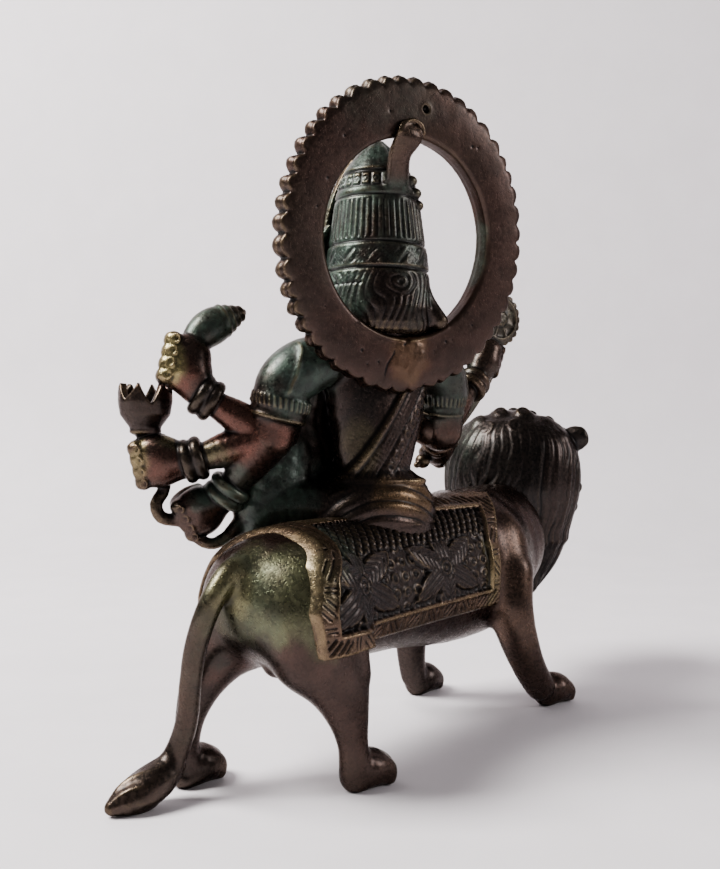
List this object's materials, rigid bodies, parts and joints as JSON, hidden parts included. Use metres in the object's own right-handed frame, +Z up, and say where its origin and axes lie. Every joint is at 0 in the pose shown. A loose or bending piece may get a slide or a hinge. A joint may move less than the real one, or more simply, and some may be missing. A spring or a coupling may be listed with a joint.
{
  "type": "cast bronze figure of an eight-armed goddess seated on a lion",
  "caption": "Small dark bronze figure of a many-armed goddess seated sideways on a standing lion, with a scalloped ring halo behind a tall crown.",
  "frame": {"origin": "middle of the bounding box in plan, on the ground under the paws", "axes": "+Z up; the lion stands along X and looks towards -X; the goddess looks towards -Y, turned 18 degrees towards the lion's head; +Y is the side that her back and the ring face"},
  "size_m": [0.1658, 0.0642, 0.1539],
  "materials": {
    "bronze": "dark worn patina with green verdigris in the hollows and golden wear on the edges",
    "halo_bronze": "smooth red-brown patina with small casting pits"
  },
  "bodies": {
    "root": {"durga_on_lion": "bronze", "halo": "halo_bronze"}
  },
  "joints": []
}
